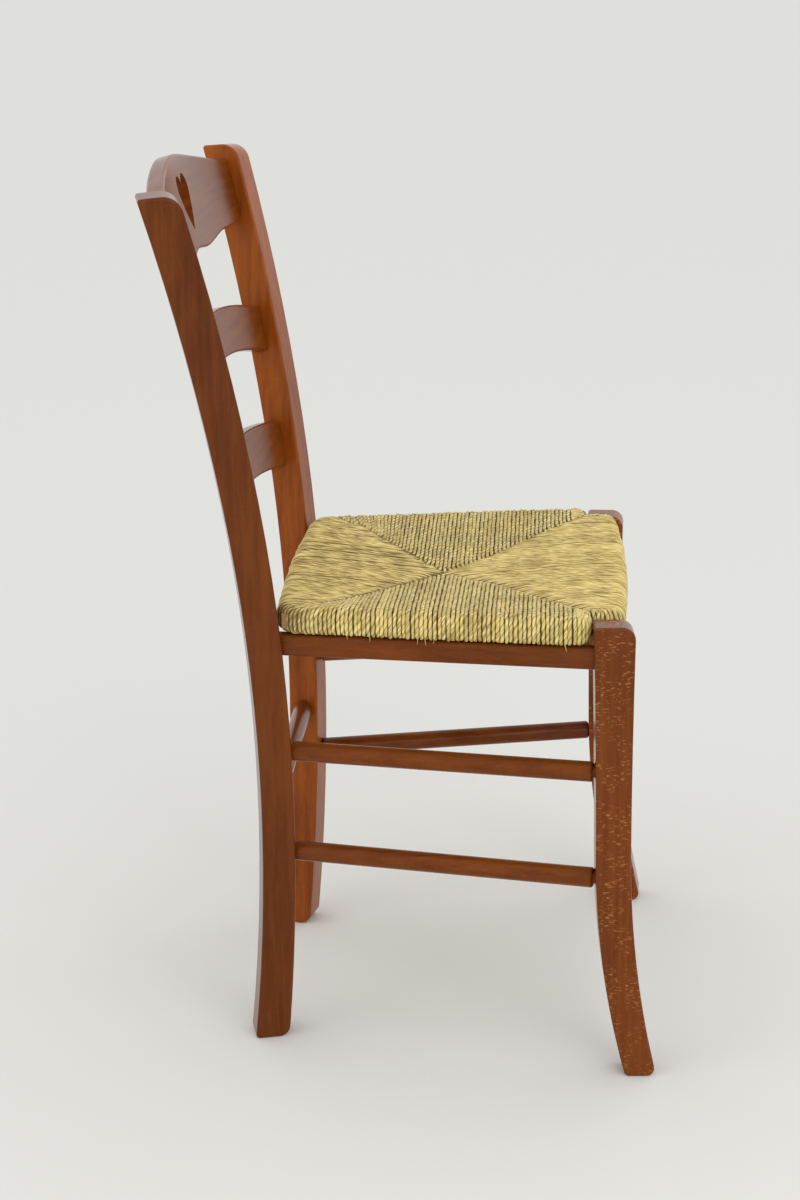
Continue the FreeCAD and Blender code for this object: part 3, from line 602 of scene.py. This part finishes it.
strip_y = np.linspace(-0.1868, -0.2125, 7)
strip_outer = np.stack([side_edge(strip_y), strip_y], 1)
strip_inner = np.stack([np.linspace(0.1742, 0.1775, 7), strip_y + np.linspace(0.010, 0.015, 7)], 1)
strip_bend = np.stack([strip_inner[:, 0] + 0.003, strip_y + 0.001], 1)
for hand, name, crease_shade in ((-1, "rush_right_field", firm_crease_shade),
                           (1, "rush_left_field", left_crease_shade)):
    mirror = np.array((hand, 1))
    cords = [cord_rings(a * mirror, b * mirror, c * mirror, firm_lay, firm_swell, crease_shade,
                        hand * (side_swerve if a[1] > mitre_start else -side_swerve), side_dive, 0)
             for a, b, c in zip(inner, bend, outer)]
    cords += [cord_rings(a * mirror, b * mirror, c * mirror, firm_lay, firm_swell, crease_shade,
                         0, corner_dive, fan_draw_in)
              for a, b, c in zip(fan_inner, fan_bend, fan_outer)]
    cords += [cord_rings(a * mirror, b * mirror, c * mirror, firm_lay, firm_swell, crease_shade,
                         0, corner_dive, 0)
              for a, b, c in zip(strip_inner, strip_bend, strip_outer)]
    rush_field(name, cords)

# Loose ends: short thin straws of the same rush that stick out between the cords, most of them
# along the lower edges of the seat, where ends have worked free.
straw_radius = 0.00050
straw_taper = 0.00030
straw_droop = 0.35
straw_rings = 6


def straw_end(base, aim, length):
    """A thin straw as rings: its line leaves the base along its aim and droops with the square of
    the distance, and its radius falls evenly from 0.50 to 0.20 mm."""
    share = np.linspace(0, 1, straw_rings)[:, None]
    aim = aim / np.linalg.norm(aim)
    line = base + aim * length * share - np.array((0, 0, straw_droop * length)) * share ** 2
    across = np.cross((0, 0, 1), aim)
    across /= np.linalg.norm(across)
    outward = np.cross(aim, across)
    radius = (straw_radius - straw_taper * share)[:, :, None]
    angle = np.linspace(0, 2 * math.pi, ring_sides, endpoint=False)[None, :, None]
    rings = line[:, None, :] + radius * (across * np.cos(angle) + outward * np.sin(angle))
    return rings, 0.2 * share[:, 0], chance.uniform(0, 1), np.zeros(straw_rings)


lower_y = np.concatenate([[-0.024, -0.158], chance.uniform(-0.16, 0.10, 9)])
lower_hand = np.concatenate([[-1, -1], np.where(np.arange(9) % 2, -1, 1)])
lower_base = np.stack([lower_hand * (side_edge(lower_y) - 0.003), lower_y,
                       np.full(11, seat_under + 0.003)], 1)
lower_aim = np.stack([lower_hand * chance.uniform(0.3, 0.7, 11), chance.uniform(-0.6, 0.6, 11),
                      chance.uniform(-1.0, -0.6, 11)], 1)
upper_y = np.array([-0.155, -0.120, 0.030, 0.085, -0.060])
upper_hand = np.array([1, 1, 1, 1, -1])
upper_base = np.stack([upper_hand * (side_edge(upper_y) - 0.006), upper_y, np.full(5, seat_top - 0.005)], 1)
upper_aim = np.stack([upper_hand * 0.5, chance.uniform(-0.5, 0.5, 5), np.full(5, 0.5)], 1)
bases = np.concatenate([lower_base, upper_base])
aims = np.concatenate([lower_aim, upper_aim])
lengths = np.concatenate([[0.0055, 0.0065], chance.uniform(0.0035, 0.0050, 9), np.full(5, 0.0048)])
rush_field("rush_loose_ends", [straw_end(a, b, c) for a, b, c in zip(bases, aims, lengths)])

# Stuffing: rush ends packed between the upper and the lower layer of cords, inside the wooden
# frame. It is loose and lumpy and fills the seat up to the underside of the cords.
fill_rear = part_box("seat_stuffing")[1].y
fill_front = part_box("seat_stuffing")[0].y
frame_inset = 0.0395
cord_bed = 0.0052
lump_size = 0.0004
fill_thinnest = 0.001
fill_steps = 70
share_x, share_y = np.meshgrid(np.linspace(-1, 1, fill_steps), np.linspace(0, 1, fill_steps))
fill_y = fill_front + (fill_rear - fill_front) * share_y
fill_x = share_x * (rear_half + (seat_rear - fill_y) * side_flare - frame_inset)
lumps = chance.normal(0, lump_size, (2, fill_steps, fill_steps))
fill_top = seat_height(fill_x, fill_y) - cord_bed + np.minimum(lumps[0], lump_size)
fill_under = np.minimum(seat_under + cord_bed + np.maximum(lumps[1], -lump_size),
                        fill_top - fill_thinnest)
layer = np.arange(fill_steps ** 2).reshape(fill_steps, fill_steps)
squares = np.stack([layer[:-1, :-1], layer[:-1, 1:], layer[1:, 1:], layer[1:, :-1]], 2).reshape(-1, 4)
rim = np.concatenate([layer[0, :-1], layer[:-1, -1], layer[-1, :0:-1], layer[:0:-1, 0]])
next_rim = np.roll(rim, -1)
below = fill_steps ** 2
walls = np.stack([rim + below, next_rim + below, next_rim, rim], 1)
fill_points = np.concatenate([np.stack([fill_x, fill_y, z], 2).reshape(-1, 3)
                              for z in (fill_top, fill_under)])
stuffing_mesh = bpy.data.meshes.new("rush_stuffing")
stuffing_mesh.from_pydata(fill_points.tolist(), [],
                          np.concatenate([squares, squares[:, ::-1] + below, walls]).tolist())
stuffing_mesh.shade_smooth()
stuffing = bpy.data.objects.new("rush_stuffing", stuffing_mesh)
scene.collection.objects.link(stuffing)
packed_rush = bpy.data.materials.new("packed_rush_ends")
packed_rush.use_nodes = True
tree = packed_rush.node_tree
place = node(tree, "ShaderNodeTexCoord").outputs["Object"]
ends = stretched_noise(tree, place, (600, 240, 600), 3, 0.6)
packed_shader = tree.nodes["Principled BSDF"]
tree.links.new(blend_colours(tree, between(tree, ends, 0.35, 0.70), (0.10, 0.062, 0.020, 1),
                             (0.46, 0.33, 0.13, 1)), packed_shader.inputs["Base Color"])
packed_shader.inputs["Roughness"].default_value = 0.85
relief = node(tree, "ShaderNodeBump", Height=ends, Strength=0.8, Distance=0.0015)
tree.links.new(relief.outputs[0], packed_shader.inputs["Normal"])
stuffing_mesh.materials.append(packed_rush)
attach(stuffing, "root")
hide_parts("seat_stuffing")
